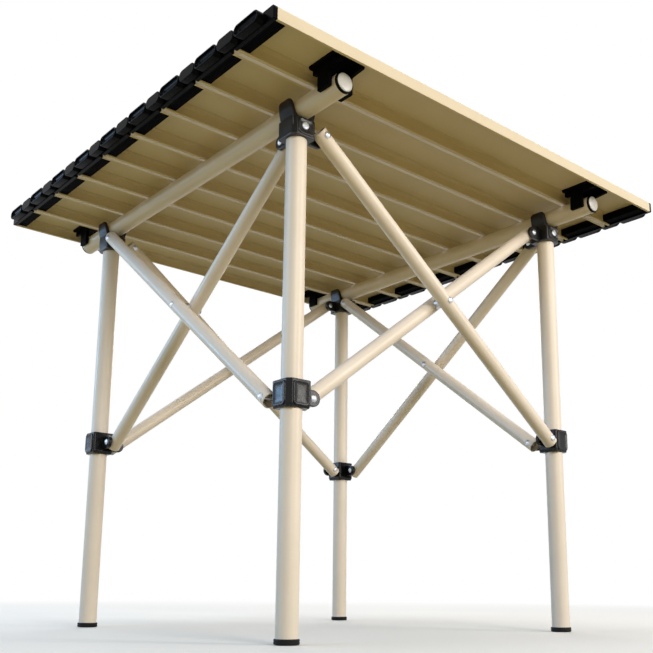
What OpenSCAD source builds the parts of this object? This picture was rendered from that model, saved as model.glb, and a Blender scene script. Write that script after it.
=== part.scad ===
// Roll-top camp table on a folding scissor frame.
// Millimetres, +Z up. X runs along the slats, Y along the rails, the origin is on the ground under the middle.

/* [Table] */
// Overall width along the slats, measured over the end caps
table_w = 735; // [640:5:900]
// Height of the table top above the ground
table_h = 640; // [600:5:760]

/* [Slats] */
// Width of one slat
slat_w = 74; // [68:1:82]
// Gap between neighbouring slats
slat_gap = 5; // [3:0.5:6]
// Height of a slat from its top face to the flange bottoms
slat_h = 16; // [15:0.5:20]
// Thickness of the top web
slat_web = 1.5; // [1.2:0.1:2.4]
// Thickness of the down-turned flanges
flange_t = 1.8; // [1.4:0.1:2.6]
// Width of the lip along the foot of each flange
lip_w = 4; // [3:0.5:6]
// Radius of the top long edges
edge_r = 3; // [2.8:0.1:3.6]

/* [End caps and hinge links] */
// Thickness of the cap plate that closes a slat
cap_plate_t = 5; // [4:0.5:7]
// Height of the oval boss on the outside of a cap
cap_boss_t = 10; // [9:0.5:12]
// Length of the ribbed tongue inside the slat
tongue_l = 15; // [10:1:36]
// Distance of a hinge pin from the line between two slats
pin_set = 9.5; // [9:0.5:11]
// Radius of a hinge link's rounded ends
link_r = 7; // [6.6:0.1:7.4]
// Radius of a hinge peg
peg_r = 3; // [2.6:0.1:3.4]

/* [Top clips] */
// Width of a clip plate along the slat
clip_w = 46; // [44:1:60]
// Length of a clip plate along the rail
clip_l = 54; // [44:1:54]
// Thickness of a clip jaw
jaw_t = 5; // [4:0.5:7]
// Distance of the jaw tabs from the middle of a clip, toward the middle of the table
jaw_set = 6; // [0:0.5:10]
// Depth of the jaw tips below the rail axis
jaw_drop = 6; // [3:0.5:9]

/* [Rails] */
// Outer diameter of a rail
rail_d = 25; // [22:0.5:28]
// Distance from the table edge to the end of a rail
rail_inset = 24; // [18:1:32]

/* [Frame] */
// Distance between leg axes, the same both ways
leg_span = 480; // [440:5:540]
// Outer diameter of a leg
leg_d = 25; // [22:0.5:28]
// Outer diameter of a scissor arm
arm_d = 19; // [16:0.5:22]
// Wall thickness of every tube
tube_wall = 1.2; // [1:0.1:1.6]
// Height between the upper and lower arm pivots
scissor_h = 317; // [280:1:340]
// Distance that an arm runs on past its end pivot
arm_end = 8; // [7:0.5:10]

/* [Hubs and sliders] */
// Wall of the plastic sleeves round a leg
sleeve_wall = 3.5; // [3:0.5:5]
// Height from the lower rim of a hub to the rail cradle
hub_h = 23.4; // [22:0.2:28]
// Height of a slider
slider_h = 32; // [26:1:38]
// Thickness of an arm lug
lug_t = 5; // [4:0.5:6]
// Length of a saddle along the rail
saddle_l = 25; // [20:1:30]
// Angle from the lowest point of the cradle at which the saddle walls open out
saddle_open = 70; // [60:1:72]
// Radius of a rivet shank
rivet_r = 3; // [2.5:0.1:3.5]

/* [Feet] */
// Height of the foot under a leg
foot_h = 6; // [4:0.5:10]

/* [Hidden] */
$fn = 64;
seat = 0.3;
fit = 0.05;
bite = 1;
slats = 9;
pitch = slat_w + slat_gap;
table_d = slats * slat_w + (slats - 1) * slat_gap;
slat_len = table_w - 2 * (cap_plate_t + cap_boss_t);
under_z = table_h - slat_h;
step_w = 8;
step_t = 1;
lip_h = 2;
cap_x = slat_len / 2;
boss_x = cap_x + cap_plate_t;
pin_y = slat_w / 2 + slat_gap / 2 - pin_set;
pin_z = -slat_h / 2;
tongue_floor = slat_h - lip_h - seat;
boss_r = link_r;
boss_half = pin_y - link_r - 0.5;
boss_wall = 2;
boss_floor = 6;
link_gap = 0.4;
link_t = cap_boss_t - 2 * link_gap;
peg_head_r = peg_r + 1.4;
peg_head_t = 2;
edge_hole_h = 3;
link_web = link_t * 0.55;
ridges = 5;

rail_r = rail_d / 2;
rail_z = under_z - seat - rail_r;
rail_len = table_d - 2 * rail_inset;
plug_ring_t = 3;
plug_dome_h = 1.6;
rail_tube = rail_len - 2 * (plug_ring_t + plug_dome_h);

clip_t = 3;
clip_y = (slats - 1) / 2 * pitch;
jaw_l = 0.38 * clip_l;
jaw_root = 0.92 * clip_l;
clip_peg_r = 2;
clip_peg_x = clip_w / 2 - 5;
clip_peg_y = clip_l / 2 - 6;

leg_x = leg_span / 2;
leg_r = leg_d / 2;
arm_r = arm_d / 2;
sleeve_w = leg_d + 2 * sleeve_wall;
sleeve_bevel = sleeve_w / 6;
sleeve_r = 3;
pivot_set = sleeve_w / 2 + norm([arm_end, arm_r]) + 1.5;
arm_off = lug_t / 2 + seat + arm_r;
arm_run = leg_span - 2 * pivot_set;
arm_len = norm([arm_run, scissor_h]);
arm_tilt = atan2(scissor_h, arm_run);

saddle_r = rail_r + seat;
cradle_z = rail_z - saddle_r;
hub_z = cradle_z - hub_h;
hub_web = 3.4;
leg_top = cradle_z - hub_web;
horn_z = under_z - 4;
horn_t = 3.6;
pivot_z = hub_z + arm_r + 0.5;
slider_z = pivot_z - scissor_h;
slider_gap = 0.35;
pad_t = 1.5;
pad_r = 5;
screw_r = 2;
screw_head_r = 5;
screw_z = hub_z + 0.55 * hub_h;

rivet_head_r = rivet_r + 1.4;
rivet_head_h = 2;
spacer_r = rivet_r + 3.5;
foot_r = leg_r + 1.5;
foot_plug = 18;

paint = "#e9dcc3";
black = "#1c1d20";
zinc = "#b9bec4";

function slat_y(k) = (k - (slats + 1) / 2) * pitch;
function leg_turn(corner) = corner * 90;

// Places 2D shapes drawn across a slat so that they run along X
module along_x(len) {
  rotate([90, 0, 90])
    linear_extrude(height = len)
      children();
}

// Places 2D shapes drawn across a rail so that they run along Y
module along_y(len) {
  translate([0, len / 2, 0])
    rotate([90, 0, 0])
      linear_extrude(height = len)
        children();
}

// Outline of a slat: round top edges, origin at the middle of the top face
module slat_outline() {
  translate([-slat_w / 2, -slat_h])
    square([slat_w, slat_h - edge_r]);
  translate([-slat_w / 2 + edge_r, -slat_h])
    square([slat_w - 2 * edge_r, slat_h]);
  for (s = [-1, 1])
    translate([s * (slat_w / 2 - edge_r), -edge_r])
      circle(r = edge_r);
}

// Hollow under a slat: stepped web, lips along the flange feet
module slat_hollow() {
  clear_w = slat_w - 2 * flange_t;
  translate([-clear_w / 2, -slat_h + lip_h])
    square([clear_w, slat_h - lip_h - slat_web - step_t]);
  translate([-clear_w / 2 + step_w, -slat_h + lip_h])
    square([clear_w - 2 * step_w, slat_h - lip_h - slat_web]);
  translate([-slat_w / 2 + lip_w, -slat_h - bite])
    square([slat_w - 2 * lip_w, slat_h - slat_web - step_t]);
}

module slat(k) {
  translate([0, slat_y(k), table_h])
    difference() {
      translate([-slat_len / 2, 0, 0])
        along_x(slat_len)
          difference() {
            slat_outline();
            slat_hollow();
          }
      if (k == 1 || k == slats)
        for (s = [-1, 1])
          translate([s * leg_x, 0, -slat_web])
            clip_peg_places()
              translate([0, 0, -bite])
                cylinder(r = clip_peg_r + fit, h = bite + slat_web * 0.6);
    }
}

// Flat oval with its long way across the slat
module oval(half, r) {
  for (s = [-1, 1])
    translate([s * (half - r), 0])
      circle(r = r);
  translate([-(half - r), -r])
    square([2 * (half - r), 2 * r]);
}

// Tongue of an end cap, ridged below
module cap_tongue() {
  tongue_w = slat_w - 2 * flange_t - 2 * seat;
  tongue_t = tongue_floor - slat_web - step_t;
  groove = tongue_l / (2 * ridges + 1);
  difference() {
    translate([cap_x - tongue_l, -tongue_w / 2, -tongue_floor])
      cube([tongue_l + bite, tongue_w, tongue_t]);
    for (i = [0 : ridges - 1])
      translate([cap_x - tongue_l + groove * (2 * i + 1), -tongue_w / 2 - bite, -tongue_floor - bite])
        cube([groove, tongue_w + 2 * bite, bite + 1.2]);
  }
}

// Headed peg that carries a hinge link
module cap_peg(y) {
  neck = link_gap + link_web + seat;
  translate([boss_x, y, pin_z])
    rotate([0, 90, 0]) {
      translate([0, 0, -bite])
        cylinder(r = peg_r, h = neck + bite);
      translate([0, 0, neck])
        cylinder(r = peg_head_r, h = peg_head_t);
    }
}

// Blind hole in the cap plate where the row of links ends at the table edge
module cap_edge_hole(s) {
  translate([boss_x - edge_hole_h, s * pin_y, pin_z])
    rotate([0, 90, 0])
      cylinder(r = peg_r + seat, h = edge_hole_h + bite);
}

// End cap on the +X end of slat k
module end_cap(k) {
  difference() {
    translate([cap_x, 0, 0])
      along_x(cap_plate_t)
        slat_outline();
    if (k == 1)
      cap_edge_hole(-1);
    if (k == slats)
      cap_edge_hole(1);
  }
  cap_tongue();
  difference() {
    translate([boss_x - bite, 0, pin_z])
      along_x(cap_boss_t + bite)
        oval(boss_half, boss_r);
    translate([boss_x + boss_floor, 0, pin_z])
      along_x(cap_boss_t)
        oval(boss_half - boss_wall, boss_r - boss_wall);
  }
  if (k > 1)
    cap_peg(-pin_y);
  if (k < slats)
    cap_peg(pin_y);
}

module end_caps(k) {
  translate([0, slat_y(k), table_h]) {
    end_cap(k);
    mirror([1, 0, 0])
      end_cap(k);
  }
}

// Hinge link on the +X end, centred on the line between two slats
module hinge_link() {
  difference() {
    translate([boss_x + link_gap, 0, pin_z])
      along_x(link_t)
        oval(pin_set + link_r, link_r);
    for (s = [-1, 1])
      translate([boss_x, s * pin_set, pin_z])
        rotate([0, 90, 0]) {
          cylinder(r = peg_r + fit, h = cap_boss_t + bite);
          translate([0, 0, link_gap + link_web])
            cylinder(r = peg_head_r + 0.4, h = cap_boss_t);
        }
  }
}

module hinge_links(k) {
  translate([0, slat_y(k) + pitch / 2, table_h]) {
    hinge_link();
    mirror([1, 0, 0])
      hinge_link();
  }
}

module clip_peg_places() {
  for (sx = [-1, 1])
    for (sy = [-1, 1])
      translate([sx * clip_peg_x, sy * clip_peg_y, 0])
        children();
}

// Side view of a clip jaw: broad root, narrow tab beside the rail
module jaw_side() {
  root = jaw_root / 2;
  tab0 = jaw_set - jaw_l / 2;
  tab1 = jaw_set + jaw_l / 2;
  root_z = under_z + 4.5;
  tab_z = under_z + 2.5;
  tip_z = rail_z - jaw_drop;
  plate_z = table_h - slat_web - clip_t / 2;
  polygon([
    [-root, plate_z], [-root, root_z], [tab0, tab_z], [tab0, tip_z],
    [tab1, tip_z], [tab1, tab_z], [root, root_z], [root, plate_z]
  ]);
}

// Clip under the front slat that straddles a rail, pegged into the web
module top_clip() {
  web_z = table_h - slat_web;
  translate([-clip_w / 2, -clip_l / 2, web_z - clip_t])
    cube([clip_w, clip_l, clip_t]);
  for (s = [-1, 1])
    translate([s * (rail_r + seat + jaw_t / 2) - jaw_t / 2, 0, 0])
      along_x(jaw_t)
        jaw_side();
  translate([0, 0, web_z - bite])
    clip_peg_places()
      cylinder(r = clip_peg_r, h = bite + slat_web * 0.5);
}

module top_clips(side) {
  for (s = [-1, 1])
    translate([s * leg_x, side * clip_y, 0])
      mirror([0, side > 0 ? 1 : 0, 0])
        top_clip();
}

module rail(side) {
  translate([side * leg_x, 0, rail_z])
    along_y(rail_tube)
      difference() {
        circle(r = rail_r);
        circle(r = rail_r - tube_wall);
      }
}

// Plug in the +Y end of a rail: spigot, ring and dome
module rail_plug() {
  dome_r = (rail_r * rail_r + plug_dome_h * plug_dome_h) / (2 * plug_dome_h);
  spigot = 16;
  translate([0, rail_tube / 2 + plug_ring_t, 0])
    rotate([-90, 0, 0]) {
      translate([0, 0, -plug_ring_t - spigot])
        cylinder(r = rail_r - tube_wall - fit, h = spigot + bite);
      translate([0, 0, -plug_ring_t])
        cylinder(r = rail_r, h = plug_ring_t);
      intersection() {
        translate([0, 0, plug_dome_h - dome_r])
          sphere(r = dome_r);
        translate([0, 0, -bite])
          cylinder(r = rail_r - 0.8, h = plug_dome_h + 2 * bite);
      }
    }
}

module rail_plugs(side) {
  translate([side * leg_x, 0, rail_z]) {
    rail_plug();
    mirror([0, 1, 0])
      rail_plug();
  }
}

// Corner 0 is front left, then counter-clockwise seen from above
module at_corner(corner) {
  rotate([0, 0, leg_turn(corner)])
    translate([-leg_x, -leg_x, 0])
      children();
}

module at_leg(corner) {
  sx = corner == 0 || corner == 3 ? -1 : 1;
  sy = corner < 2 ? -1 : 1;
  translate([sx * leg_x, sy * leg_x, 0])
    mirror([0, sy > 0 ? 1 : 0, 0])
      children();
}

module leg_tube(corner) {
  at_leg(corner)
    difference() {
      translate([0, 0, foot_h])
        cylinder(r = leg_r, h = leg_top - foot_h);
      translate([0, 0, foot_h - bite])
        cylinder(r = leg_r - tube_wall, h = leg_top - foot_h + 2 * bite);
      translate([0, 0, screw_z])
        rotate([90, 0, 0])
          cylinder(r = screw_r + fit, h = leg_d);
    }
}

// Square sleeve with a broad chamfer on its outer corner and round corners elsewhere
module sleeve_outline() {
  half = sleeve_w / 2;
  flat = half - sleeve_bevel;
  edge = half - sleeve_r;
  polygon([
    [-half, -flat], [-flat, -half], [edge, -half], [edge, -edge], [half, -edge],
    [half, edge], [edge, edge], [edge, half], [-edge, half], [-edge, edge], [-half, edge]
  ]);
  for (p = [[1, -1], [1, 1], [-1, 1]])
    translate(p * edge)
      circle(r = sleeve_r);
}

// Two lugs with rivet holes, one toward +X and one toward +Y
module lugs(z) {
  for (turn = [0, 90])
    rotate([0, 0, turn])
      mirror([0, turn == 90 ? 1 : 0, 0])
        translate([0, lug_t / 2, z])
          rotate([90, 0, 0])
            linear_extrude(height = lug_t)
              difference() {
                union() {
                  translate([leg_r + 1, -arm_r])
                    square([pivot_set - leg_r - 1, arm_d]);
                  translate([pivot_set, 0])
                    circle(r = arm_r);
                }
                translate([pivot_set, 0])
                  circle(r = rivet_r + fit);
              }
}

// Open channel for a rail: round below, opening out above
module rail_channel() {
  open_x = saddle_r * sin(saddle_open);
  open_z = -saddle_r * cos(saddle_open);
  rise = 2 * rail_d;
  spread = rise / tan(saddle_open);
  circle(r = saddle_r);
  polygon([
    [-open_x, open_z], [open_x, open_z],
    [open_x + spread, open_z + rise], [-open_x - spread, open_z + rise]
  ]);
}

// Saddle seen along the rail: a block that rises to two round-tipped horns
module saddle_side() {
  half = sleeve_w / 2;
  low = hub_z - rail_z + hub_h / 2;
  mid = cradle_z - rail_z;
  tip_r = horn_t / 2;
  tip_z = horn_z - rail_z - tip_r;
  wall_x = saddle_r / sin(saddle_open) + tip_z / tan(saddle_open);
  tip_x = wall_x + tip_r / sin(saddle_open);
  difference() {
    union() {
      polygon([
        [-half, low], [half, low], [half, mid], [tip_x + tip_r, tip_z],
        [-tip_x - tip_r, tip_z], [-half, mid]
      ]);
      for (s = [-1, 1])
        translate([s * tip_x, tip_z])
          circle(r = tip_r);
    }
    rail_channel();
  }
}

module hub(corner) {
  difference() {
    union() {
      at_corner(corner) {
        translate([0, 0, hub_z])
          linear_extrude(height = cradle_z + 3 - hub_z)
            sleeve_outline();
        lugs(pivot_z);
      }
      at_leg(corner)
        translate([0, 0, rail_z])
          along_y(saddle_l)
            saddle_side();
    }
    at_leg(corner) {
      translate([0, 0, hub_z - bite])
        cylinder(r = leg_r + fit, h = leg_top - hub_z + bite);
      translate([0, 0, screw_z])
        rotate([90, 0, 0])
          cylinder(r = screw_r + fit, h = sleeve_w);
      translate([0, 0, rail_z])
        along_y(2 * sleeve_w)
          rail_channel();
    }
  }
}

// Screw through the outer face of a hub into the leg
module hub_screw(corner) {
  at_leg(corner)
    translate([0, -sleeve_w / 2, screw_z])
      rotate([90, 0, 0]) {
        translate([0, 0, -sleeve_wall - 4])
          cylinder(r = screw_r, h = sleeve_wall + 4 + bite);
        difference() {
          translate([0, 0, fit])
            cylinder(r = screw_head_r, h = 2.2);
          translate([0, 0, 1.2])
            for (turn = [0, 90])
              rotate([0, 0, turn])
                translate([-0.55 * screw_head_r, -0.6, 0])
                  cube([1.1 * screw_head_r, 1.2, 2]);
        }
      }
}

module foot(corner) {
  at_leg(corner) {
    cylinder(r = foot_r, h = foot_h);
    cylinder(r = leg_r - tube_wall - fit, h = foot_h + foot_plug);
  }
}

module leg_fittings(corner) {
  hub(corner);
  hub_screw(corner);
  foot(corner);
}

// Rectangle with round corners, centred
module round_rect(w, h, r) {
  square([w - 2 * r, h], center = true);
  square([w, h - 2 * r], center = true);
  for (sx = [-1, 1])
    for (sy = [-1, 1])
      translate([sx * (w / 2 - r), sy * (h / 2 - r)])
        circle(r = r);
}

// Raised pads on the two outer faces of a slider
module slider_pads() {
  pad_w = sleeve_w - sleeve_bevel - sleeve_r - 1;
  pad_mid = (sleeve_bevel - sleeve_r) / 2;
  for (turn = [0, -90])
    rotate([0, 0, turn])
      mirror([turn == 0 ? 0 : 1, 0, 0])
        translate([pad_mid, -sleeve_w / 2 + bite, slider_z])
          rotate([90, 0, 0])
            linear_extrude(height = pad_t + bite)
              round_rect(pad_w, slider_h - 4, pad_r);
}

module slider(corner) {
  at_corner(corner)
    difference() {
      union() {
        translate([0, 0, slider_z - slider_h / 2])
          linear_extrude(height = slider_h)
            sleeve_outline();
        slider_pads();
        lugs(slider_z);
      }
      translate([0, 0, slider_z - slider_h])
        cylinder(r = leg_r + slider_gap, h = 2 * slider_h);
    }
}

// Arm in the front face, from its upper pivot down to the right, drawn along X before tilting
module arm_tube(off) {
  translate([0, off, 0])
    difference() {
      translate([-arm_end, 0, 0])
        rotate([0, 90, 0])
          cylinder(r = arm_r, h = arm_len + 2 * arm_end);
      translate([-arm_end - bite, 0, 0])
        rotate([0, 90, 0])
          cylinder(r = arm_r - tube_wall, h = arm_len + 2 * (arm_end + bite));
      for (x = [0, arm_len / 2, arm_len])
        translate([x, arm_d, 0])
          rotate([90, 0, 0])
            cylinder(r = rivet_r + fit, h = 2 * arm_d);
    }
}

module rivet_head() {
  ball = (rivet_head_r * rivet_head_r + rivet_head_h * rivet_head_h) / (2 * rivet_head_h);
  intersection() {
    translate([0, 0, rivet_head_h - ball])
      sphere(r = ball);
    cylinder(r = rivet_head_r, h = rivet_head_h + bite);
  }
}

// Rivet along Y from y0 to y1 with a domed head at each end
module rivet(y0, y1) {
  translate([0, y1, 0])
    rotate([90, 0, 0])
      cylinder(r = rivet_r, h = y1 - y0);
  translate([0, y0, 0])
    rotate([90, 0, 0])
      rivet_head();
  translate([0, y1, 0])
    rotate([-90, 0, 0])
      rivet_head();
}

module end_rivets(side) {
  tube_face = arm_off + arm_r;
  lug_face = lug_t / 2 + seat;
  for (x = [0, arm_len])
    translate([x, 0, 0])
      if (side < 0)
        rivet(-tube_face, lug_face);
      else
        rivet(-lug_face, tube_face);
}

// Rivet and spacer where the two arms of a face cross
module crossing_rivet() {
  tube_face = arm_off + arm_r;
  translate([arm_len / 2, 0, 0]) {
    rivet(-tube_face, tube_face + seat);
    difference() {
      translate([0, arm_off - arm_r - seat, 0])
        rotate([90, 0, 0])
          difference() {
            cylinder(r = spacer_r, h = 2 * arm_off - arm_d + arm_r / 2 - seat);
            translate([0, 0, -bite])
              cylinder(r = rivet_r + fit, h = arm_d);
          }
      translate([-arm_d, -arm_off, 0])
        rotate([0, 90, 0])
          cylinder(r = arm_r + fit, h = 2 * arm_d);
    }
  }
}

// Side -1 is the arm outside the lugs, side 1 the arm inside them
module at_arm(face, side) {
  rotate([0, 0, 90 * face])
    translate([0, -leg_x, 0])
      mirror([side > 0 ? 1 : 0, 0, 0])
        translate([-leg_x + pivot_set, 0, pivot_z])
          rotate([0, arm_tilt, 0])
            children();
}

module arm(face, side) {
  at_arm(face, side)
    arm_tube(side * arm_off);
}

module arm_rivets(face, side) {
  at_arm(face, side) {
    end_rivets(side);
    if (side < 0)
      crossing_rivet();
  }
}

module slat_1() { color(paint) slat(1); }
module slat_2() { color(paint) slat(2); }
module slat_3() { color(paint) slat(3); }
module slat_4() { color(paint) slat(4); }
module slat_5() { color(paint) slat(5); }
module slat_6() { color(paint) slat(6); }
module slat_7() { color(paint) slat(7); }
module slat_8() { color(paint) slat(8); }
module slat_9() { color(paint) slat(9); }
module slat_1_end_caps() { color(black) end_caps(1); }
module slat_2_end_caps() { color(black) end_caps(2); }
module slat_3_end_caps() { color(black) end_caps(3); }
module slat_4_end_caps() { color(black) end_caps(4); }
module slat_5_end_caps() { color(black) end_caps(5); }
module slat_6_end_caps() { color(black) end_caps(6); }
module slat_7_end_caps() { color(black) end_caps(7); }
module slat_8_end_caps() { color(black) end_caps(8); }
module slat_9_end_caps() { color(black) end_caps(9); }
module hinge_links_1() { color(black) hinge_links(1); }
module hinge_links_2() { color(black) hinge_links(2); }
module hinge_links_3() { color(black) hinge_links(3); }
module hinge_links_4() { color(black) hinge_links(4); }
module hinge_links_5() { color(black) hinge_links(5); }
module hinge_links_6() { color(black) hinge_links(6); }
module hinge_links_7() { color(black) hinge_links(7); }
module hinge_links_8() { color(black) hinge_links(8); }
module front_top_clips() { color(black) top_clips(-1); }
module back_top_clips() { color(black) top_clips(1); }
module left_rail() { color(paint) rail(-1); }
module right_rail() { color(paint) rail(1); }
module left_rail_plugs() { color(black) rail_plugs(-1); }
module right_rail_plugs() { color(black) rail_plugs(1); }
module front_left_leg() { color(paint) leg_tube(0); }
module front_right_leg() { color(paint) leg_tube(1); }
module back_right_leg() { color(paint) leg_tube(2); }
module back_left_leg() { color(paint) leg_tube(3); }
module front_left_leg_fittings() { color(black) leg_fittings(0); }
module front_right_leg_fittings() { color(black) leg_fittings(1); }
module back_right_leg_fittings() { color(black) leg_fittings(2); }
module back_left_leg_fittings() { color(black) leg_fittings(3); }
module front_left_slider() { color(black) slider(0); }
module front_right_slider() { color(black) slider(1); }
module back_right_slider() { color(black) slider(2); }
module back_left_slider() { color(black) slider(3); }
module front_outer_arm() { color(paint) arm(0, -1); }
module right_outer_arm() { color(paint) arm(1, -1); }
module back_outer_arm() { color(paint) arm(2, -1); }
module left_outer_arm() { color(paint) arm(3, -1); }
module front_inner_arm() { color(paint) arm(0, 1); }
module right_inner_arm() { color(paint) arm(1, 1); }
module back_inner_arm() { color(paint) arm(2, 1); }
module left_inner_arm() { color(paint) arm(3, 1); }
module front_outer_arm_rivets() { color(zinc) arm_rivets(0, -1); }
module right_outer_arm_rivets() { color(zinc) arm_rivets(1, -1); }
module back_outer_arm_rivets() { color(zinc) arm_rivets(2, -1); }
module left_outer_arm_rivets() { color(zinc) arm_rivets(3, -1); }
module front_inner_arm_rivets() { color(zinc) arm_rivets(0, 1); }
module right_inner_arm_rivets() { color(zinc) arm_rivets(1, 1); }
module back_inner_arm_rivets() { color(zinc) arm_rivets(2, 1); }
module left_inner_arm_rivets() { color(zinc) arm_rivets(3, 1); }

slat_1();
slat_2();
slat_3();
slat_4();
slat_5();
slat_6();
slat_7();
slat_8();
slat_9();
slat_1_end_caps();
slat_2_end_caps();
slat_3_end_caps();
slat_4_end_caps();
slat_5_end_caps();
slat_6_end_caps();
slat_7_end_caps();
slat_8_end_caps();
slat_9_end_caps();
hinge_links_1();
hinge_links_2();
hinge_links_3();
hinge_links_4();
hinge_links_5();
hinge_links_6();
hinge_links_7();
hinge_links_8();
front_top_clips();
back_top_clips();
left_rail();
right_rail();
left_rail_plugs();
right_rail_plugs();
front_left_leg();
front_right_leg();
back_right_leg();
back_left_leg();
front_left_leg_fittings();
front_right_leg_fittings();
back_right_leg_fittings();
back_left_leg_fittings();
front_left_slider();
front_right_slider();
back_right_slider();
back_left_slider();
front_outer_arm();
right_outer_arm();
back_outer_arm();
left_outer_arm();
front_inner_arm();
right_inner_arm();
back_inner_arm();
left_inner_arm();
front_outer_arm_rivets();
right_outer_arm_rivets();
back_outer_arm_rivets();
left_outer_arm_rivets();
front_inner_arm_rivets();
right_inner_arm_rivets();
back_inner_arm_rivets();
left_inner_arm_rivets();
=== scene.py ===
"""Looks of the roll-top camp table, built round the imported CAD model. Metres, +Z up, the CAD's own frame."""
import math

import bmesh
import bpy
from mathutils import Matrix, Vector
from mathutils.geometry import delaunay_2d_cdt


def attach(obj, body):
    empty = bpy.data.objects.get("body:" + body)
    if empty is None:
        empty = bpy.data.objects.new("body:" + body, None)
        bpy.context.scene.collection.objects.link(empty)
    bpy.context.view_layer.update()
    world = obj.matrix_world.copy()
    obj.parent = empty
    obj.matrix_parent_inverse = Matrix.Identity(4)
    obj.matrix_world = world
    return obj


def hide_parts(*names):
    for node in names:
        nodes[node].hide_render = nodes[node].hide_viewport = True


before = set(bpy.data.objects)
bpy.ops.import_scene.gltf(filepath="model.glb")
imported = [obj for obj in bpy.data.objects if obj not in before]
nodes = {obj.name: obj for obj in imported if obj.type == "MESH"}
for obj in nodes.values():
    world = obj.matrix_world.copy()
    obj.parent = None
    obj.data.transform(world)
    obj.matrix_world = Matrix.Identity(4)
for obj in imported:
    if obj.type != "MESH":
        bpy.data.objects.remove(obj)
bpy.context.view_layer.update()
scene = bpy.context.scene

# Sizes in millimetres, as in the part's source
MM = 0.001
TABLE_W, TABLE_H = 735.0, 640.0
SLATS, SLAT_W, SLAT_GAP, SLAT_H = 9, 74.0, 5.0, 16.0
SLAT_WEB, FLANGE_T, LIP_W, LIP_H, STEP_W, STEP_T, EDGE_R = 1.5, 1.8, 4.0, 2.0, 8.0, 1.0, 3.0
PITCH = SLAT_W + SLAT_GAP
PLATE_T, BOSS_T, TONGUE_L = 5.0, 10.0, 15.0
CAP_X = TABLE_W / 2 - PLATE_T - BOSS_T
BOSS_X = CAP_X + PLATE_T
PIN_SET, LINK_R, PEG_R, PEG_HEAD_R = 9.5, 7.0, 3.0, 4.4
PIN_Y = SLAT_W / 2 + SLAT_GAP / 2 - PIN_SET
BOSS_HALF = PIN_Y - LINK_R - 0.5
LINK_GAP = 0.4
LINK_T = BOSS_T - 2 * LINK_GAP
LINK_WEB = LINK_T * 0.55
UNDER_Z = TABLE_H - SLAT_H
RAIL_R, SEAT = 12.5, 0.3
RAIL_Z = UNDER_Z - SEAT - RAIL_R
RAIL_HALF = 324.4
SADDLE_R, SADDLE_L, SADDLE_OPEN = RAIL_R + SEAT, 25.0, math.radians(70)
CRADLE_Z = RAIL_Z - SADDLE_R
HUB_H = 23.4
HUB_Z = CRADLE_Z - HUB_H
HORN_Z, HORN_T = UNDER_Z - 4, 3.6
LEG_X, LEG_R = 240.0, 12.5
ARM_R, SCISSOR_H = 9.5, 317.0
SLEEVE = 32.0
BEVEL, SLEEVE_R = SLEEVE / 6, 3.0
PIVOT_SET = SLEEVE / 2 + math.hypot(8.0, ARM_R) + 1.5
PIVOT_Z = HUB_Z + ARM_R + 0.5
SLIDER_Z, SLIDER_H = PIVOT_Z - SCISSOR_H, 32.0
LUG_T = 5.0
CLIP_W, CLIP_L, CLIP_T, JAW_T, JAW_SET = 46.0, 54.0, 3.0, 5.0, 6.0

# Camera
IMAGE = 653
CAM_POS = Vector((-0.8173, -1.0044, 0.0616))
CAM_YAW, CAM_PITCH, CAM_ROLL = math.radians(-40.9292), math.radians(11.6827), math.radians(0.3642)
FOCAL_PX, CENTRE_X, CENTRE_Y = 880.3, 349.6, 403.1


def make_camera():
    forward = Vector((
        -math.sin(CAM_YAW) * math.cos(CAM_PITCH),
        math.cos(CAM_YAW) * math.cos(CAM_PITCH),
        math.sin(CAM_PITCH),
    ))
    right = forward.cross(Vector((0, 0, 1))).normalized()
    up = right.cross(forward)
    r = right * math.cos(CAM_ROLL) + up * math.sin(CAM_ROLL)
    u = up * math.cos(CAM_ROLL) - right * math.sin(CAM_ROLL)
    data = bpy.data.cameras.new("camera")
    data.sensor_fit = "HORIZONTAL"
    data.sensor_width = 36.0
    data.lens = FOCAL_PX * 36.0 / IMAGE
    data.shift_x = (IMAGE / 2 - CENTRE_X) / IMAGE
    data.shift_y = (CENTRE_Y - IMAGE / 2) / IMAGE
    data.clip_start, data.clip_end = 0.02, 60
    cam = bpy.data.objects.new("camera", data)
    cam.matrix_world = Matrix((
        (r.x, u.x, -forward.x, CAM_POS.x),
        (r.y, u.y, -forward.y, CAM_POS.y),
        (r.z, u.z, -forward.z, CAM_POS.z),
        (0, 0, 0, 1),
    ))
    scene.collection.objects.link(cam)
    scene.camera = cam


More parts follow.
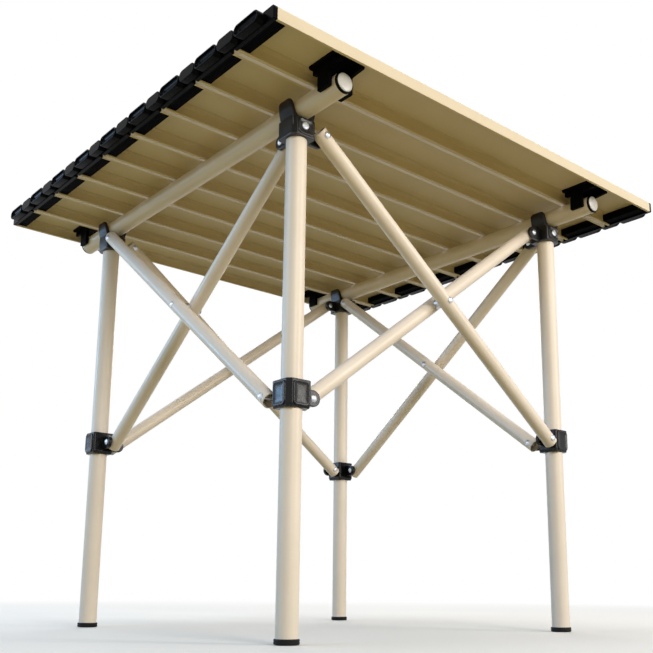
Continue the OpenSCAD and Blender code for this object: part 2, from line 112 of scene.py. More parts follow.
# Node helpers
class Tree:
    """A material's node tree with short calls for adding and linking nodes."""

    def __init__(self, name):
        self.mat = bpy.data.materials.new(name)
        self.mat.use_nodes = True
        self.nt = self.mat.node_tree
        self.nt.nodes.clear()
        self.out = self.add("ShaderNodeOutputMaterial")

    def add(self, kind, **props):
        n = self.nt.nodes.new(kind)
        for k, v in props.items():
            setattr(n, k, v)
        return n

    def link(self, a, b):
        self.nt.links.new(a, b)

    def coords(self, scale=(1, 1, 1)):
        tex = self.add("ShaderNodeTexCoord")
        mapping = self.add("ShaderNodeMapping")
        mapping.inputs["Scale"].default_value = scale
        self.link(tex.outputs["Object"], mapping.inputs["Vector"])
        return mapping.outputs["Vector"]

    def noise(self, vector, scale, detail=4.0, rough=0.5):
        n = self.add("ShaderNodeTexNoise")
        n.inputs["Scale"].default_value = scale
        n.inputs["Detail"].default_value = detail
        n.inputs["Roughness"].default_value = rough
        self.link(vector, n.inputs["Vector"])
        return n.outputs["Fac"]

    def ramp(self, fac, stops):
        n = self.add("ShaderNodeValToRGB")
        els = n.color_ramp.elements
        while len(els) < len(stops):
            els.new(0.5)
        for e, (p, c) in zip(els, stops):
            e.position = p
            e.color = (*c, 1)
        self.link(fac, n.inputs["Fac"])
        return n.outputs["Color"]

    def span(self, value, lo, hi, a=0.0, b=1.0):
        n = self.add("ShaderNodeMapRange")
        for key, x in (("From Min", lo), ("From Max", hi), ("To Min", a), ("To Max", b)):
            n.inputs[key].default_value = x
        self.link(value, n.inputs["Value"])
        return n.outputs["Result"]

    def math(self, op, a, b):
        n = self.add("ShaderNodeMath", operation=op)
        for i, x in enumerate((a, b)):
            if isinstance(x, (int, float)):
                n.inputs[i].default_value = x
            else:
                self.link(x, n.inputs[i])
        return n.outputs["Value"]

    def mix(self, fac, a, b):
        n = self.add("ShaderNodeMix", data_type="RGBA")
        for i, x in ((0, fac), (6, a), (7, b)):
            if isinstance(x, (int, float)):
                n.inputs[i].default_value = x
            elif isinstance(x, tuple):
                n.inputs[i].default_value = (*x, 1)
            else:
                self.link(x, n.inputs[i])
        return n.outputs[2]

    def bump(self, height, strength, distance, under=None):
        n = self.add("ShaderNodeBump")
        n.inputs["Strength"].default_value = strength
        n.inputs["Distance"].default_value = distance
        self.link(height, n.inputs["Height"])
        if under is not None:
            self.link(under, n.inputs["Normal"])
        return n.outputs["Normal"]

    def shader(self, color=None, rough=None, normal=None, **fixed):
        n = self.add("ShaderNodeBsdfPrincipled")
        for socket, x in (("Base Color", color), ("Roughness", rough), ("Normal", normal)):
            if x is not None:
                self.link(x, n.inputs[socket])
        for key, x in fixed.items():
            n.inputs[key.replace("_", " ")].default_value = x
        return n.outputs["BSDF"]

    def finish(self, shader):
        self.link(shader, self.out.inputs["Surface"])
        return self.mat


def srgb(r, g, b):
    return tuple((c / 255 / 12.92) if c <= 10 else ((c / 255 + 0.055) / 1.055) ** 2.4 for c in (r, g, b))


# Materials
def paint(name, dark, light, worn, rough, shine):
    """Satin powder paint: faint drawing lines along the extrusion, clouds, specks and orange peel."""
    t = Tree(name)
    flat = t.coords()
    cloud = t.noise(flat, 9, 4, 0.55)
    color = t.ramp(cloud, [(0.3, dark), (0.7, light)])
    streak = t.noise(t.coords((1.0, 60, 60)), 6, 4, 0.5)
    color = t.mix(t.span(streak, 0.5, 0.8, 0.0, 0.06), color, worn)
    speck = t.noise(flat, 420, 2, 0.5)
    color = t.mix(t.span(speck, 0.7, 0.78, 0.0, 0.2), color, tuple(c * 0.7 for c in worn))
    gloss = t.span(t.noise(flat, 70, 4, 0.6), 0.3, 0.7, rough - 0.05, rough + 0.06)
    normal = t.bump(t.noise(flat, 1100, 3, 0.5), 0.07, 0.0003)
    return t.finish(t.shader(color, gloss, normal, Specular_IOR_Level=shine))


def plastic(name, dark, light, rough, shine):
    """Moulded black plastic with fine grain, faint flow clouds and a little dust."""
    t = Tree(name)
    flat = t.coords()
    color = t.ramp(t.noise(flat, 45, 4, 0.6), [(0.3, dark), (0.75, light)])
    dust = t.noise(flat, 900, 3, 0.6)
    color = t.mix(t.span(dust, 0.66, 0.82, 0.0, 0.05), color, srgb(120, 112, 98))
    gloss = t.span(t.noise(flat, 170, 4, 0.6), 0.3, 0.7, rough - 0.05, rough + 0.07)
    normal = t.bump(t.noise(flat, 2600, 2, 0.5), 0.1, 0.0003)
    return t.finish(t.shader(color, gloss, normal, Specular_IOR_Level=shine))


def zinc():
    t = Tree("zinc_steel")
    flat = t.coords()
    color = t.ramp(t.noise(flat, 700, 4, 0.7), [(0.3, srgb(176, 181, 188)), (0.7, srgb(214, 217, 221))])
    gloss = t.span(t.noise(flat, 500, 3, 0.6), 0.3, 0.7, 0.34, 0.48)
    normal = t.bump(t.noise(flat, 1600, 3, 0.6), 0.1, 0.0002)
    return t.finish(t.shader(color, gloss, normal, Metallic=1.0))


SLAT = paint("slat_paint", srgb(223, 207, 178), srgb(231, 217, 190), srgb(212, 196, 165), 0.44, 0.2)
# Flange sides inside the joints: a near-white paint that is painted light, standing in for the light falling down
# through the gaps between slats
FLANGE = paint("flange_side_painted_light", srgb(242, 236, 230), srgb(249, 244, 239), srgb(225, 217, 209), 0.36, 0.4)
TUBE = paint("tube_paint", srgb(235, 222, 206), srgb(243, 231, 217), srgb(226, 210, 191), 0.34, 0.35)
BLACK = plastic("black_plastic", srgb(5, 5, 6), srgb(9, 9, 10), 0.22, 0.03)
MATT = plastic("matt_plastic", srgb(5, 5, 6), srgb(9, 9, 10), 0.6, 0.02)
SATIN = plastic("satin_plastic", srgb(5, 5, 6), srgb(9, 9, 10), 0.25, 0.25)
HUB = plastic("hub_plastic", srgb(9, 9, 10), srgb(15, 15, 16), 0.34, 0.5)
DISC = plastic("plug_disc", srgb(186, 184, 180), srgb(206, 204, 200), 0.3, 0.5)
RUBBER = plastic("foot_rubber", srgb(14, 14, 15), srgb(22, 22, 23), 0.62, 0.2)
ZINC = zinc()

for name, node in nodes.items():
    node.data.materials.clear()
    if name.endswith("_rivets"):
        node.data.materials.append(ZINC)
    elif name.endswith(("_leg", "_arm", "_rail")):
        node.data.materials.append(TUBE)
    elif name.startswith("slat_") and not name.endswith("caps"):
        node.data.materials.append(SLAT)
    else:
        node.data.materials.append(BLACK)

# Outlines
ALONG_X = Matrix(((0, 0, 1, 0), (1, 0, 0, 0), (0, 1, 0, 0), (0, 0, 0, 1)))
ALONG_Y = Matrix(((1, 0, 0, 0), (0, 0, -1, 0), (0, 1, 0, 0), (0, 0, 0, 1)))
ALONG_BACK_X = Matrix(((0, 0, -1, 0), (-1, 0, 0, 0), (0, 1, 0, 0), (0, 0, 0, 1)))
MIRROR_X = Matrix.Diagonal((-1, 1, 1, 1))
MIRROR_Y = Matrix.Diagonal((1, -1, 1, 1))


def move(x, y, z):
    return Matrix.Translation((x, y, z))


def circle(r, n=32, x=0.0, y=0.0):
    return [(x + r * math.cos(2 * math.pi * i / n), y + r * math.sin(2 * math.pi * i / n)) for i in range(n)]


def stadium(half, r, n=12):
    """Flat oval with its long way along the first axis."""
    out = []
    for side, start in ((1, -90), (-1, 90)):
        for i in range(n + 1):
            a = math.radians(start + 180 * i / n)
            out.append((side * (half - r) + r * math.cos(a), r * math.sin(a)))
    return out


def round_poly(corners, seg=4):
    """Polygon with rounded corners (x, y, radius). A point just outside each rounding keeps the sides flat."""
    out = []
    n = len(corners)
    for i in range(n):
        x, y, r = corners[i]
        b = Vector((x, y))
        if r == 0:
            out.append((x, y))
            continue
        u = (Vector(corners[i - 1][:2]) - b).normalized()
        v = (Vector(corners[(i + 1) % n][:2]) - b).normalized()
        half = u.angle(v) / 2
        reach = r / math.tan(half)
        mid = b + (u + v).normalized() * (r / math.sin(half))
        start, end = b + u * reach - mid, b + v * reach - mid
        turn = math.atan2(start.x * end.y - start.y * end.x, start.dot(end))
        out.append(tuple(b + u * (reach + 0.25)))
        for k in range(seg + 1):
            a = turn * k / seg
            c, s = math.cos(a), math.sin(a)
            out.append((mid.x + start.x * c - start.y * s, mid.y + start.x * s + start.y * c))
        out.append(tuple(b + v * (reach + 0.25)))
    return out


def round_rect(w, h, r, seg=5):
    return round_poly([(-w / 2, -h / 2, r), (w / 2, -h / 2, r), (w / 2, h / 2, r), (-w / 2, h / 2, r)], seg)


def inset(loop, d):
    """The loop moved to its left by d, which is inwards on a counter-clockwise loop."""
    if d == 0:
        return list(loop)
    out = []
    n = len(loop)
    for i in range(n):
        b = Vector(loop[i])
        u = (b - Vector(loop[i - 1])).normalized()
        v = (Vector(loop[(i + 1) % n]) - b).normalized()
        m = Vector((-u.y - v.y, u.x + v.x))
        out.append(tuple(b + m * (2 * d / m.length_squared)))
    return out


def rim(r, seg=3):
    """Inset and depth of a rounded edge, from the flat face to the wall, with a line that keeps the face flat."""
    if r == 0:
        return [(0, 0)]
    turn = [math.pi / 2 * i / seg for i in range(seg + 1)]
    return [(r + 0.25, 0)] + [(r - r * math.sin(a), r - r * math.cos(a)) for a in turn] + [(0, r + 0.25)]


# Solids
class Solid:
    """Closed forms of one piece, gathered in millimetres before they become a mesh."""

    def __init__(self):
        self.bm = bmesh.new()
        self.place = Matrix.Identity(4)
        self.skin = 0

    def ring(self, points, z):
        return [self.bm.verts.new(self.place @ Vector((x, y, z))) for x, y in points]

    def face(self, verts):
        self.bm.faces.new(verts).material_index = self.skin

    def bridge(self, a, b):
        if len(a) == 1:
            a, b = b, a
        n = len(a)
        for i in range(n):
            j = (i + 1) % n
            self.face((a[i], a[j], b[0]) if len(b) == 1 else (a[i], a[j], b[j], b[i]))

    def cap(self, loops, rings):
        """Fills the flat region inside the first loop and outside the others."""
        verts = [v for ring in rings for v in ring]
        edges, start = [], 0
        for loop in loops:
            n = len(loop)
            edges += [(start + i, start + (i + 1) % n) for i in range(n)]
            start += n
        made = delaunay_2d_cdt([Vector(p) for loop in loops for p in loop], edges, [], 2, 1e-6)
        for tri in made[2]:
            self.face([verts[made[3][i][0]] for i in tri])

    def loft(self, steps):
        """Skin through (loop, z) steps with both ends closed."""
        rings = [self.ring(loop, z) for loop, z in steps]
        for a, b in zip(rings, rings[1:]):
            self.bridge(a, b)
        self.cap([steps[0][0]], [rings[0]])
        self.cap([steps[-1][0]], [rings[-1]])

    def prism(self, loop, levels, bores=()):
        """Outline carried up through (inset, z) levels. A bore is (x, y, [(radius, z), ...]) from the top down."""
        steps = [(inset(loop, d), z) for d, z in levels]
        rings = [self.ring(points, z) for points, z in steps]
        for a, b in zip(rings, rings[1:]):
            self.bridge(a, b)
        low, high = [(steps[0][0], rings[0])], [(steps[-1][0], rings[-1])]
        for x, y, path in bores:
            walls = [self.ring(circle(r, 32, x, y) if r else [(x, y)], z) for r, z in path]
            for a, b in zip(walls, walls[1:]):
                self.bridge(a, b)
            high.append((circle(path[0][0], 32, x, y), walls[0]))
            if path[-1][0]:
                low.append((circle(path[-1][0], 32, x, y), walls[-1]))
        for side in (low, high):
            self.cap([s[0] for s in side], [s[1] for s in side])

    def slab(self, loop, z0, z1, r0, r1, bores=()):
        """Prism with rounded lower and upper edges."""
        levels = [(d, z0 + h) for d, h in rim(r0)] + [(d, z1 - h) for d, h in reversed(rim(r1))]
        self.prism(loop, levels, bores)

    def lathe(self, path, n=40):
        """Closed form of revolution through (radius, z) points that start and end on the axis."""
        rings = [self.ring(circle(r, n) if r else [(0, 0)], z) for r, z in path]
        for a, b in zip(rings, rings[1:]):
            self.bridge(a, b)

    def piece(self, name, body, slot, mats, *replaced):
        bmesh.ops.recalc_face_normals(self.bm, faces=self.bm.faces)
        bmesh.ops.scale(self.bm, vec=(MM, MM, MM), verts=self.bm.verts)
        mesh = bpy.data.meshes.new(name)
        self.bm.to_mesh(mesh)
        self.bm.free()
        for mat in mats:
            mesh.materials.append(mat)
        mesh.polygons.foreach_set("use_smooth", [True] * len(mesh.polygons))
        mesh.set_sharp_from_angle(angle=math.radians(35))
        obj = bpy.data.objects.new(name, mesh)
        scene.collection.objects.link(obj)
        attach(obj, body)
        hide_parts(*replaced)


# Slats
def slat_profile():
    w, h = SLAT_W / 2, SLAT_H
    lip, inner = w - LIP_W, w - FLANGE_T
    step = inner - STEP_W
    right = [
        (w, -h, 0.5), (w, 0, EDGE_R),
    ]
    left = [
        (-w, 0, EDGE_R), (-w, -h, 0.5), (-lip, -h, 0.9), (-lip, -h + LIP_H, 0.4), (-inner, -h + LIP_H, 0.3),
        (-inner, -SLAT_WEB - STEP_T, 0.5), (-step, -SLAT_WEB - STEP_T, 0.4), (-step, -SLAT_WEB, 0.4),
    ]
    rest = [
        (step, -SLAT_WEB, 0.4), (step, -SLAT_WEB - STEP_T, 0.4), (inner, -SLAT_WEB - STEP_T, 0.5),
        (inner, -h + LIP_H, 0.3), (lip, -h + LIP_H, 0.4), (lip, -h, 0.9),
    ]
    return round_poly(right + left + rest, 3)


def slat_y(k):
    return (k - (SLATS + 1) / 2) * PITCH


def make_slat(k):
    s = Solid()
    s.place = move(-CAP_X, slat_y(k), TABLE_H) @ ALONG_X
    s.loft([(slat_profile(), 0), (slat_profile(), 2 * CAP_X)])
    # Flange sides that face a neighbour inside a joint take the second slot, the near-white flange paint, painted
    # as the light that falls through the gap
    for f in s.bm.faces:
        f.normal_update()
        side = f.calc_center_median().y - slat_y(k)
        hidden = (k > 1 and side < -SLAT_W / 2 + 0.1) or (k < SLATS and side > SLAT_W / 2 - 0.1)
        if hidden and abs(f.normal.y) > 0.9:
            f.material_index = 1
    s.piece(f"slat_{k}_channel", f"slat_{k}", "painted_slat", [SLAT, FLANGE], f"slat_{k}")


# End caps and hinge links
def cap_outline():
    w, h = SLAT_W / 2, SLAT_H
    return round_poly([(-w, -h, 1.2), (w, -h, 1.2), (w, 0, EDGE_R), (-w, 0, EDGE_R)], 4)


def add_pill(s, half, r, z0, z1, wall, floor):
    """Oval boss with a rounded rim round a deep recess."""
    steps = [(half, r, z0)]
    for d, h in [(0, 1.3), (0, 1.0), (0.13, 0.5), (0.5, 0.13), (1.0, 0)]:
        steps.append((half - d, r - d, z1 - h))
    for d, h in [(0.8, 0), (0.35, 0.12), (0.1, 0.4), (0, 0.8), (-0.2, z1 - floor - 1.6)]:
        steps.append((half - wall + d, r - wall + d, z1 - h))
    for d, h in [(0.5, 1.2), (1.1, 0.85), (1.8, 0.5), (2.5, 0.24), (3.2, 0.07), (3.8, 0)]:
        steps.append((half - wall - d, r - wall - d, floor + h))
    s.loft([(stadium(a, b), z) for a, b, z in steps])


def add_tongue(s):
    """Flat tongue under the slat, ridged below."""
    ridges, depth = 5, 0.7
    top, low = -SLAT_WEB - STEP_T, -(SLAT_H - LIP_H - SEAT)
    x0 = CAP_X - TONGUE_L
    groove = TONGUE_L / (2 * ridges + 1)
    line = [(CAP_X + 1, low, 0), (CAP_X + 1, top, 0), (x0, top, 0), (x0, low, 0.4)]
    for i in range(ridges):
        a = x0 + groove * (2 * i + 1)
        line += [(a, low, 0), (a + 0.2, low + depth, 0), (a + groove - 0.2, low + depth, 0), (a + groove, low, 0)]
    half = SLAT_W / 2 - FLANGE_T - SEAT
    keep = s.place
    s.place = keep @ ALONG_Y
    s.slab(round_poly(line, 2), -half, half, 0, 0)
    s.place = keep


def add_peg(s, y):
    """Headed peg with a moulded hole in its end."""
    neck = LINK_GAP + LINK_WEB + SEAT
    keep = s.place
    s.place = keep @ move(BOSS_X, y, -SLAT_H / 2) @ ALONG_X
    s.lathe([
        (0, -1), (PEG_R, -1), (PEG_R, neck), (PEG_HEAD_R - 0.3, neck), (PEG_HEAD_R, neck + 0.3),
        (PEG_HEAD_R, neck + 1.3), (PEG_HEAD_R - 0.2, neck + 1.75), (PEG_HEAD_R - 0.7, neck + 2), (1.9, neck + 2),
        (1.55, neck + 1.85), (1.4, neck + 1.5), (1.3, neck + 0.2), (0, neck),
    ], 28)
    s.place = keep


def make_caps(k):
    s = Solid()
    for side in (Matrix.Identity(4), MIRROR_X):
        here = move(0, slat_y(k), TABLE_H) @ side
        s.place = here @ move(CAP_X, 0, 0) @ ALONG_X
        hole = PEG_R + SEAT
        path = [
            (hole + 0.5, PLATE_T), (hole + 0.12, PLATE_T - 0.15), (hole, PLATE_T - 0.5),
            (hole - 0.1, PLATE_T - 2.6), (hole - 0.5, PLATE_T - 3), (0, PLATE_T - 3),
        ]
        ends = {1: -1, SLATS: 1}
        s.slab(cap_outline(), 0, PLATE_T, 0, 0.7, [(ends[k] * PIN_Y, -SLAT_H / 2, path)] if k in ends else [])
        s.place = here @ move(BOSS_X, 0, -SLAT_H / 2) @ ALONG_X
        add_pill(s, BOSS_HALF, LINK_R, -1, BOSS_T, 2.0, 6.0)
        s.place = here
        s.skin = 1
        add_tongue(s)
        s.skin = 0
        for end in (-1, 1):
            if ends.get(k) != end:
                add_peg(s, end * PIN_Y)
    s.piece(f"slat_{k}_cap_mouldings", f"slat_{k}", "black_plastic", [BLACK, MATT], f"slat_{k}_end_caps")


def make_links(k):
    s = Solid()
    seat_r = PEG_HEAD_R + 0.4
    path = [(seat_r + 0.45, LINK_T), (seat_r + 0.1, LINK_T - 0.15), (seat_r, LINK_T - 0.5), (seat_r, LINK_WEB),
            (PEG_R + 0.05, LINK_WEB), (PEG_R + 0.05, 0)]
    for side in (Matrix.Identity(4), MIRROR_X):
        s.place = (move(0, slat_y(k) + PITCH / 2, TABLE_H) @ side
                   @ move(BOSS_X + LINK_GAP, 0, -SLAT_H / 2) @ ALONG_X)
        s.slab(stadium(PIN_SET + LINK_R, LINK_R), 0, LINK_T, 0.6, 0.9,
               [(-PIN_SET, 0, path), (PIN_SET, 0, path)])
    s.piece(f"hinge_links_{k}_mouldings", f"hinge_links_{k}", "black_plastic", [BLACK], f"hinge_links_{k}")


# Clips
def make_clips(name, side, body):
    s = Solid()
    web = TABLE_H - SLAT_WEB
    root, tab, tip = UNDER_Z + 4.5, UNDER_Z + 2.5, RAIL_Z - 6
    a, b0, b1 = 0.46 * CLIP_L, JAW_SET - 0.19 * CLIP_L, JAW_SET + 0.19 * CLIP_L
    jaw = round_poly([
        (-a, web - CLIP_T / 2, 0), (-a, root, 1.2), (b0, tab, 1.2), (b0, tip, 1.1),
        (b1, tip, 1.1), (b1, tab, 1.2), (a, root, 1.2), (a, web - CLIP_T / 2, 0),
    ])
    turn = MIRROR_Y if side > 0 else Matrix.Identity(4)
    for x in (-LEG_X, LEG_X):
        here = move(x, side * 4 * PITCH, 0) @ turn
        s.place = here
        s.slab(round_rect(CLIP_W, CLIP_L, 3), web - CLIP_T, web, 0.8, 0)
        for end in (-1, 1):
            s.place = here @ move(end * (RAIL_R + SEAT + JAW_T / 2), 0, 0) @ ALONG_X
            s.slab(jaw, -JAW_T / 2, JAW_T / 2, 0.6, 0.6)
    s.piece(f"{name}_clip_mouldings", body, "black_plastic", [MATT], f"{name}_top_clips")


# Rail plugs
def make_plugs(side, x):
    s = Solid()
    r = RAIL_R
    for flip in (MIRROR_Y, Matrix.Identity(4)):
        s.place = flip @ move(x, -RAIL_HALF, RAIL_Z) @ ALONG_Y
        s.skin = 0
        s.lathe([
            (0, -6), (r - 1.3, -6), (r - 1.3, 0), (r, 0), (r, 2.1),
            (r - 0.15, 2.6), (r - 0.5, 2.9), (r - 1, 3.0), (0, 3.0),
        ])
        s.skin = 1
        dome = [(r - 1.6, 2.4), (r - 1.6, 3.2), (r - 1.75, 3.45), (r - 2.2, 3.6)]
        turns = [math.pi / 20 * i for i in range(1, 10)]
        dome += [((r - 2.2) * math.cos(t), 3.6 + math.sin(t)) for t in turns]
        s.lathe([(0, 2.4)] + dome + [(0, 4.6)])
    s.piece(f"{side}_rail_end_plugs", f"{side}_rail", "black_plastic", [BLACK, DISC], f"{side}_rail_plugs")


# Hubs, sliders and feet
CORNERS = {
    "front_left": Matrix.Identity(4),
    "front_right": MIRROR_X,
    "back_right": MIRROR_X @ MIRROR_Y,
    "back_left": MIRROR_Y,
}


SIDES = (ALONG_Y, ALONG_BACK_X)


def sleeve_outline():
    """Square sleeve with a broad chamfer on its outer corner and round corners elsewhere."""
    h = SLEEVE / 2
    f = h - BEVEL
    return round_poly([(-h, -f, 2.4), (-f, -h, 2.4), (h, -h, SLEEVE_R), (h, h, SLEEVE_R), (-h, h, SLEEVE_R)], 4)


def add_lugs(s, here, z):
    eye = 3.05
    line = [(LEG_R + 1, -ARM_R), (PIVOT_SET, -ARM_R)] + [
        (PIVOT_SET + ARM_R * math.sin(math.pi * i / 18), -ARM_R * math.cos(math.pi * i / 18)) for i in range(1, 18)
    ] + [(PIVOT_SET, ARM_R), (LEG_R + 1, ARM_R)]
    half = LUG_T / 2
    path = [(eye + 0.5, half), (eye, half - 0.5), (eye, 0.5 - half), (eye + 0.5, -half)]
    for turn in (Matrix.Identity(4), Matrix.Rotation(math.pi / 2, 4, "Z")):
        s.place = here @ move(0, 0, z) @ turn @ ALONG_Y
        s.slab(line, -half, half, 1.0, 1.0, [(PIVOT_SET, 0, path)])


def add_pad(s, here, z, tall, side):
    """Raised pad with a dished face on one outer side of a sleeve."""
    w, aside = SLEEVE - BEVEL - SLEEVE_R - 1, (BEVEL - SLEEVE_R) / 2
    out = (aside, -SLEEVE / 2) if side is ALONG_Y else (-SLEEVE / 2, aside)
    s.place = here @ move(*out, z) @ side
    dish = [
        (0, -1), (0, 0.5), (0, 0.8), (0.15, 1.15), (0.5, 1.42), (0.9, 1.5), (1.5, 1.46), (2.1, 1.3),
        (3.0, 1.07), (4.2, 0.85), (5.6, 0.7), (7.0, 0.62), (8.0, 0.6),
    ]
    s.loft([(round_rect(w - 2 * d, tall - 2 * d, max(5 - d, 1.6)), h) for d, h in dish])


def saddle_loop(drop):
    """Saddle seen along the rail, with its horns lowered by drop."""
    half, low, mid = SLEEVE / 2, HUB_Z - RAIL_Z + HUB_H / 2, CRADLE_Z - RAIL_Z
    r = HORN_T / 2
    tip_z = HORN_Z - RAIL_Z - r - drop
    tip_x = SADDLE_R / math.sin(SADDLE_OPEN) + tip_z / math.tan(SADDLE_OPEN) + r / math.sin(SADDLE_OPEN)
    side = [(half - 0.6, low), (half - 0.6, mid), (half + 0.45 * (tip_x + r - half), mid + 0.45 * (tip_z - mid))]
    side += [(tip_x + r * math.cos(math.pi / 9 * i), tip_z + r * math.sin(math.pi / 9 * i)) for i in range(9)]
    turns = [SADDLE_OPEN * (1 - i / 10) for i in range(10)]
    bowl = [(SADDLE_R * math.sin(a), -SADDLE_R * math.cos(a)) for a in turns]
    right = side + bowl
    return right + [(0, -SADDLE_R)] + [(-x, z) for x, z in reversed(right)]


def make_hub(corner, flip):
    s = Solid()
    here = flip @ move(-LEG_X, -LEG_X, 0)
    s.place = here
    bore = LEG_R + 0.1
    s.slab(sleeve_outline(), HUB_Z, CRADLE_Z - 0.2, 1.1, 1.0, [(0, 0, [
        (3.0, CRADLE_Z - 0.2), (3.0, CRADLE_Z - 3), (bore, CRADLE_Z - 3), (bore, HUB_Z + 0.6), (bore + 0.5, HUB_Z),
    ])])
    s.place = here @ move(0, 0, RAIL_Z) @ ALONG_Y
    half, round_r = SADDLE_L / 2, 6.0
    steps = []
    for deep, edge in [(0, 0.9), (0.12, 0.45), (0.45, 0.13), (0.9, 0), (1.6, 0), (2.6, 0), (4.2, 0), (6, 0)]:
        d = round_r - deep
        drop = round_r - math.sqrt(max(round_r * round_r - d * d, 0.6))
        steps.append((inset(saddle_loop(drop), edge), half - deep))
    s.loft([(loop, -y) for loop, y in steps] + [(loop, y) for loop, y in reversed(steps)])
    add_pad(s, here, HUB_Z + HUB_H / 2, HUB_H - 4, ALONG_Y)
    add_lugs(s, here, PIVOT_Z)
    body = f"{corner}_leg"
    s.piece(f"{corner}_hub", body, "black_plastic", [HUB], f"{corner}_leg_fittings")

    screw = Solid()
    screw.place = here @ move(0, -SLEEVE / 2, HUB_Z + 0.55 * HUB_H) @ ALONG_Y
    arm, slot = 2.75, 0.6
    cross = [(slot, slot), (slot, arm), (-slot, arm), (-slot, slot), (-arm, slot), (-arm, -slot),
             (-slot, -slot), (-slot, -arm), (slot, -arm), (slot, -slot), (arm, -slot), (arm, slot)]
    outer = [(5.0, 0.05), (5.0, 0.9), (4.8, 1.45), (4.3, 1.85), (3.6, 2.08), (3.1, 2.14)]
    rings = [screw.ring(circle(r, 36), z) for r, z in outer]
    for a, b in zip(rings, rings[1:]):
        screw.bridge(a, b)
    base = inset(cross[::-1], -0.12)[::-1]
    lips = [screw.ring(cross, 2.14), screw.ring(base, 0.9)]
    screw.bridge(lips[0], lips[1])
    screw.cap([circle(3.1, 36), cross], [rings[-1], lips[0]])
    screw.cap([base], [lips[1]])
    screw.cap([circle(5.0, 36)], [rings[0]])
    screw.piece(f"{corner}_hub_screw", body, "zinc_steel", [ZINC], f"{corner}_leg_fittings")

    foot = Solid()
    foot.place = here
    r = LEG_R + 1.5
    foot.lathe([
        (0, 0), (r - 3.2, 0), (r - 2.6, 0.5), (r - 2.0, 0.5), (r - 1.4, 0), (r - 0.9, 0.05), (r - 0.3, 0.4),
        (r, 1.1), (r, 3.0), (r - 0.35, 3.3), (r - 0.35, 3.7), (r, 4.0), (r, 5.0), (r - 0.3, 5.6), (r - 1.0, 6.0),
        (LEG_R - 1.3, 6.0), (LEG_R - 1.3, 8), (0, 8),
    ])
    foot.piece(f"{corner}_foot", body, "black_plastic", [RUBBER], f"{corner}_leg_fittings")


def make_slider(corner, flip):
    s = Solid()
    here = flip @ move(-LEG_X, -LEG_X, 0)
    s.place = here @ move(0, 0, SLIDER_Z)
    h, bore = SLIDER_H / 2, LEG_R + 0.35
    skirt = [(2.1, 0), (1.9, 0), (1.4, 0.25), (1.15, 0.8), (1.0, 2.4), (0.75, 2.9), (0.2, 3.3), (0, 3.9), (0, 4.2)]
    levels = [(d, z - h) for d, z in skirt] + [(d, h - z) for d, z in reversed(rim(1.4, 4))]
    path = [(bore + 0.8, h), (bore + 0.2, h - 0.25), (bore, h - 0.9), (bore, 0.8 - h), (bore + 0.4, -h)]
    s.prism(sleeve_outline(), levels, [(0, 0, path)])
    for side in SIDES:
        add_pad(s, here, SLIDER_Z, SLIDER_H - 4, side)
    add_lugs(s, here, SLIDER_Z)
    s.piece(f"{corner}_slide_block", f"{corner}_slider", "black_plastic", [SATIN], f"{corner}_slider")


for k in range(1, SLATS + 1):
    make_slat(k)
    make_caps(k)
for k in range(1, SLATS):
    make_links(k)
make_clips("front", -1, "slat_1")
make_clips("back", 1, f"slat_{SLATS}")
make_plugs("left", -LEG_X)
make_plugs("right", LEG_X)
for corner, flip in CORNERS.items():
    make_hub(corner, flip)
    make_slider(corner, flip)


# Stage
def make_floor():
    t = Tree("floor")
    path = t.add("ShaderNodeLightPath")
    seen = t.math("MAXIMUM", t.math("MAXIMUM", path.outputs["Is Camera Ray"], path.outputs["Is Glossy Ray"]),
                  path.outputs["Is Transmission Ray"])
    flat = t.coords()
    tone = t.noise(flat, 1.5, 2, 0.5)
    pale = t.ramp(tone, [(0.3, (0.93, 0.89, 0.83)), (0.7, (0.96, 0.92, 0.86))])
    across = t.add("ShaderNodeSeparateXYZ")
    t.link(flat, across.inputs["Vector"])
    warm = t.ramp(t.span(across.outputs["X"], -0.7, 0.5), [(0.0, (0.37, 0.29, 0.1)), (1.0, (0.18, 0.143, 0.043))])
    color = t.mix(seen, warm, pale)
    near = t.shader(color, None, None, Roughness=0.9, Specular_IOR_Level=0.1)
    far = t.add("ShaderNodeEmission")
    far.inputs["Color"].default_value = (1, 1, 1, 1)
    away = t.add("ShaderNodeVectorMath", operation="LENGTH")
    t.link(flat, away.inputs[0])
    blend = t.math("MULTIPLY", seen, t.span(away.outputs["Value"], 0.7, 2.2))
    mix = t.add("ShaderNodeMixShader")
    t.link(blend, mix.inputs["Fac"])
    t.link(near, mix.inputs[1])
    t.link(far.outputs["Emission"], mix.inputs[2])
    mat = t.finish(mix.outputs["Shader"])
    bm = bmesh.new()
    bmesh.ops.create_circle(bm, cap_ends=True, segments=96, radius=14)
    mesh = bpy.data.meshes.new("floor")
    bm.to_mesh(mesh)
    bm.free()
    mesh.materials.append(mat)
    floor = bpy.data.objects.new("floor", mesh)
    floor.location.z = -0.0005
    scene.collection.objects.link(floor)


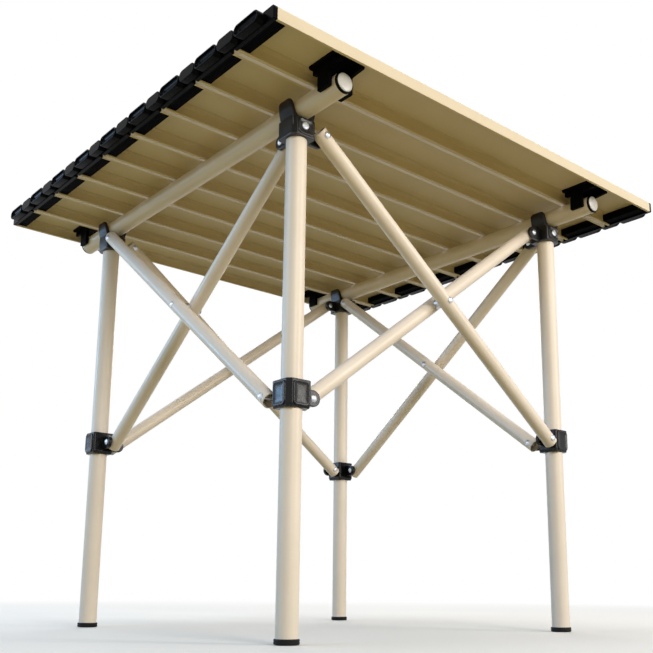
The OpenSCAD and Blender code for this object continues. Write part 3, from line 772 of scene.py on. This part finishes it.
def make_world():
    world = bpy.data.worlds.new("studio")
    world.use_nodes = True
    nt = world.node_tree
    nt.nodes.clear()
    out = nt.nodes.new("ShaderNodeOutputWorld")
    path = nt.nodes.new("ShaderNodeLightPath")
    seen = nt.nodes.new("ShaderNodeMath")
    seen.operation = "MAXIMUM"
    nt.links.new(path.outputs["Is Camera Ray"], seen.inputs[0])
    through = nt.nodes.new("ShaderNodeMath")
    through.operation = "MAXIMUM"
    nt.links.new(path.outputs["Is Glossy Ray"], through.inputs[0])
    nt.links.new(path.outputs["Is Transmission Ray"], through.inputs[1])
    nt.links.new(through.outputs["Value"], seen.inputs[1])
    fill = nt.nodes.new("ShaderNodeBackground")
    fill.inputs["Color"].default_value = (0.74, 0.87, 1.0, 1)
    fill.inputs["Strength"].default_value = 0.29
    white = nt.nodes.new("ShaderNodeBackground")
    white.inputs["Color"].default_value = (1, 1, 1, 1)
    white.inputs["Strength"].default_value = 1.0
    mix = nt.nodes.new("ShaderNodeMixShader")
    nt.links.new(seen.outputs["Value"], mix.inputs["Fac"])
    nt.links.new(fill.outputs["Background"], mix.inputs[1])
    nt.links.new(white.outputs["Background"], mix.inputs[2])
    nt.links.new(mix.outputs["Shader"], out.inputs["Surface"])
    scene.world = world


def area(name, place, target, size, watts, color):
    data = bpy.data.lights.new(name, "AREA")
    data.shape = "RECTANGLE"
    data.size, data.size_y = size
    data.energy = watts
    data.color = color
    lamp = bpy.data.objects.new(name, data)
    lamp.location = place
    lamp.rotation_mode = "QUATERNION"
    lamp.rotation_quaternion = (Vector(target) - Vector(place)).to_track_quat("-Z", "Y")
    scene.collection.objects.link(lamp)


make_camera()
make_floor()
make_world()
area("key", (1.45, -2.5, 1.15), (0, 0, 0.45), (0.7, 1.4), 36, (1.0, 0.96, 0.9))
area("front", (-0.6, -3.2, 1.4), (0, 0, 0.4), (1.2, 1.2), 50, (1.0, 0.94, 0.85))
area("sky", (-1.8, 2.1, 1.0), (0, 0, 0.4), (1.1, 0.6), 21, (0.34, 0.62, 1.0))
area("side", (-2.7, 0.6, 1.45), (0, 0, 0.45), (1.4, 1.0), 24, (0.48, 0.7, 1.0))
area("back", (1.9, 2.4, 1.5), (0, 0, 0.45), (1.6, 1.2), 20, (1.0, 0.94, 0.86))
area("top", (0.2, 0.4, 2.6), (0, 0, 0.7), (2.0, 2.0), 28, (1.0, 0.98, 0.95))

scene.view_settings.view_transform = "Standard"
